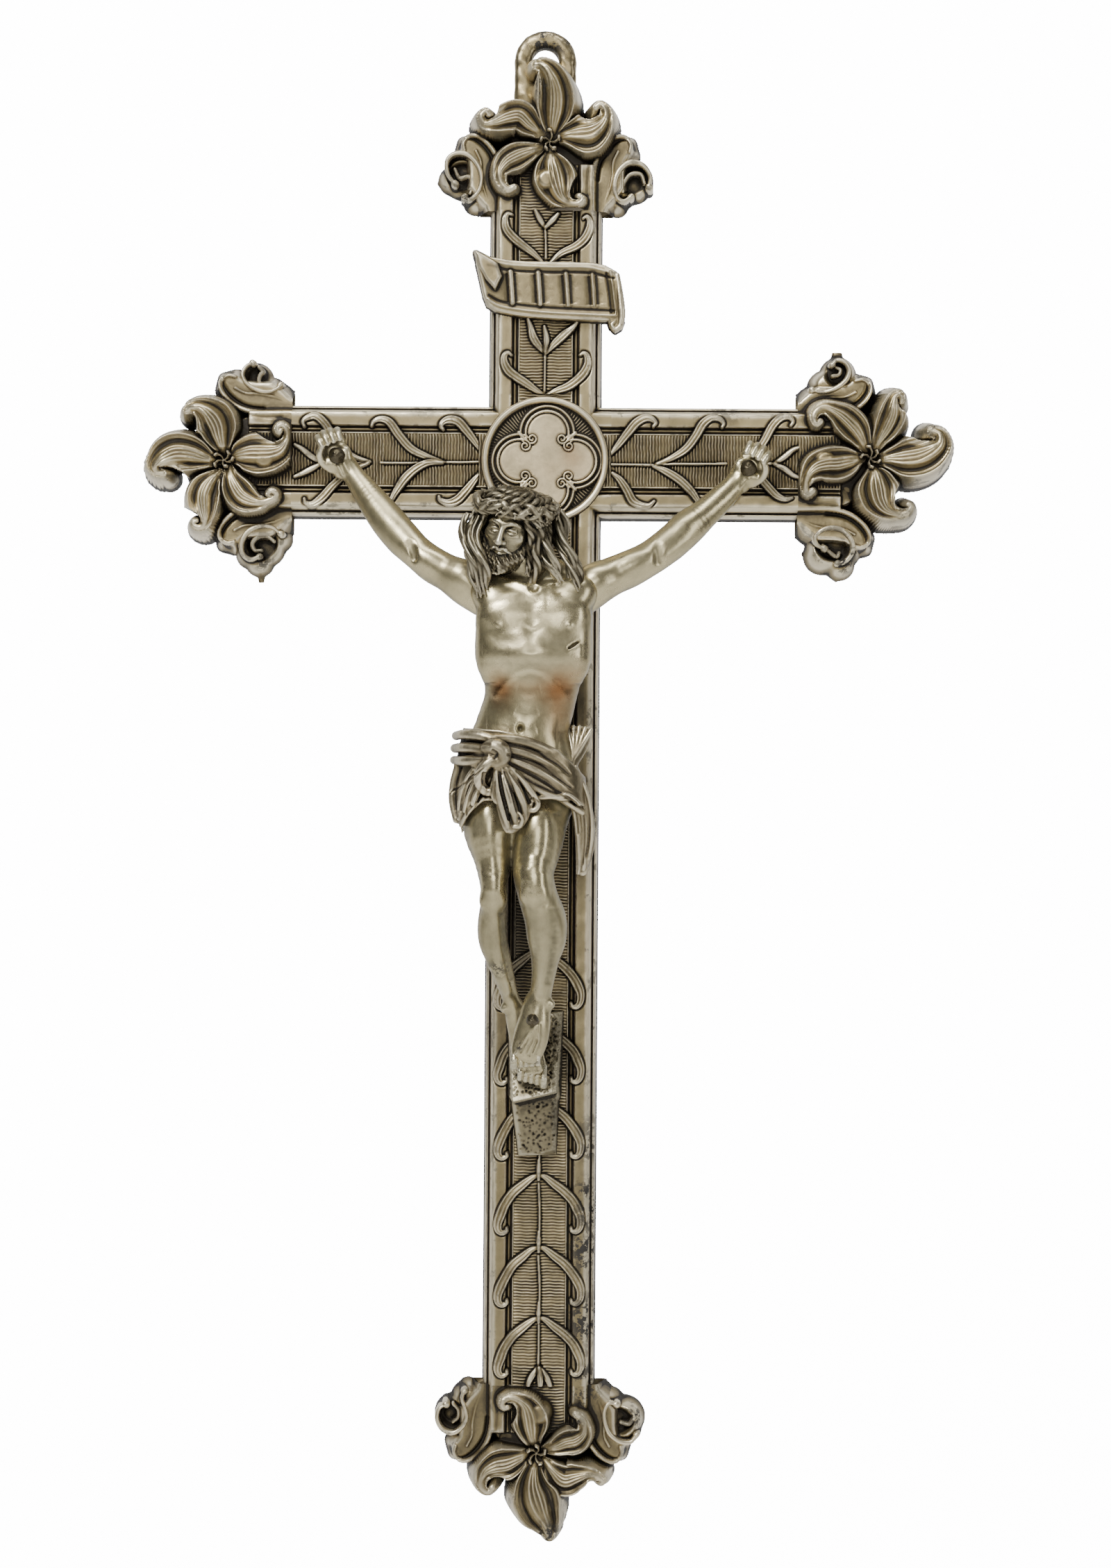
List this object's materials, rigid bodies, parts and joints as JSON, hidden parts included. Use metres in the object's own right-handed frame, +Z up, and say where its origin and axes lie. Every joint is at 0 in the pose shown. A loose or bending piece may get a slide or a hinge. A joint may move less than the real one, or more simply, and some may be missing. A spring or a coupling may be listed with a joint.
{
  "type": "wall crucifix",
  "caption": "Silver-plated cast metal wall crucifix with lily ends, scroll volutes, ribbed arms with leaf tracery and a figure on a sloping footrest",
  "frame": {"origin": "middle of the crossing, on the flat back plane that rests against the wall", "axes": "+X to the viewer's right along the arms, +Y into the wall so the front faces -Y, +Z up along the upright"},
  "size_m": [0.2654, 0.0586, 0.5024],
  "materials": {
    "cast_metal": "satin",
    "figure_metal": "polished",
    "fixings": "satin"
  },
  "bodies": {
    "root": {"cross_body": "cast_metal", "upper_panel": "cast_metal", "lower_panel": "cast_metal", "left_panel": "cast_metal", "right_panel": "cast_metal", "upper_spray": "cast_metal", "lower_spray": "cast_metal", "left_spray": "cast_metal", "right_spray": "cast_metal", "medallion": "cast_metal", "volute_left_upper": "cast_metal", "volute_left_lower": "cast_metal", "volute_right_upper": "cast_metal", "volute_right_lower": "cast_metal", "volute_top_left": "cast_metal", "volute_top_right": "cast_metal", "volute_bottom_left": "cast_metal", "volute_bottom_right": "cast_metal", "left_lily": "cast_metal", "right_lily": "cast_metal", "top_lily": "cast_metal", "bottom_lily": "cast_metal", "hanging_loop": "cast_metal", "titulus_scroll": "cast_metal", "footrest": "cast_metal", "corpus_body": "figure_metal", "corpus_head": "figure_metal", "corpus_left_arm": "figure_metal", "corpus_right_arm": "figure_metal", "crown": "figure_metal", "loincloth": "figure_metal", "loincloth_tail": "figure_metal", "left_hand_nail": "fixings", "right_hand_nail": "fixings", "foot_nail": "fixings", "fixing_nuts": "fixings", "lily_screws": "fixings", "footrest_screws": "fixings", "medallion_screw": "fixings", "loop_screw": "fixings", "titulus_pins": "fixings"}
  },
  "joints": []
}
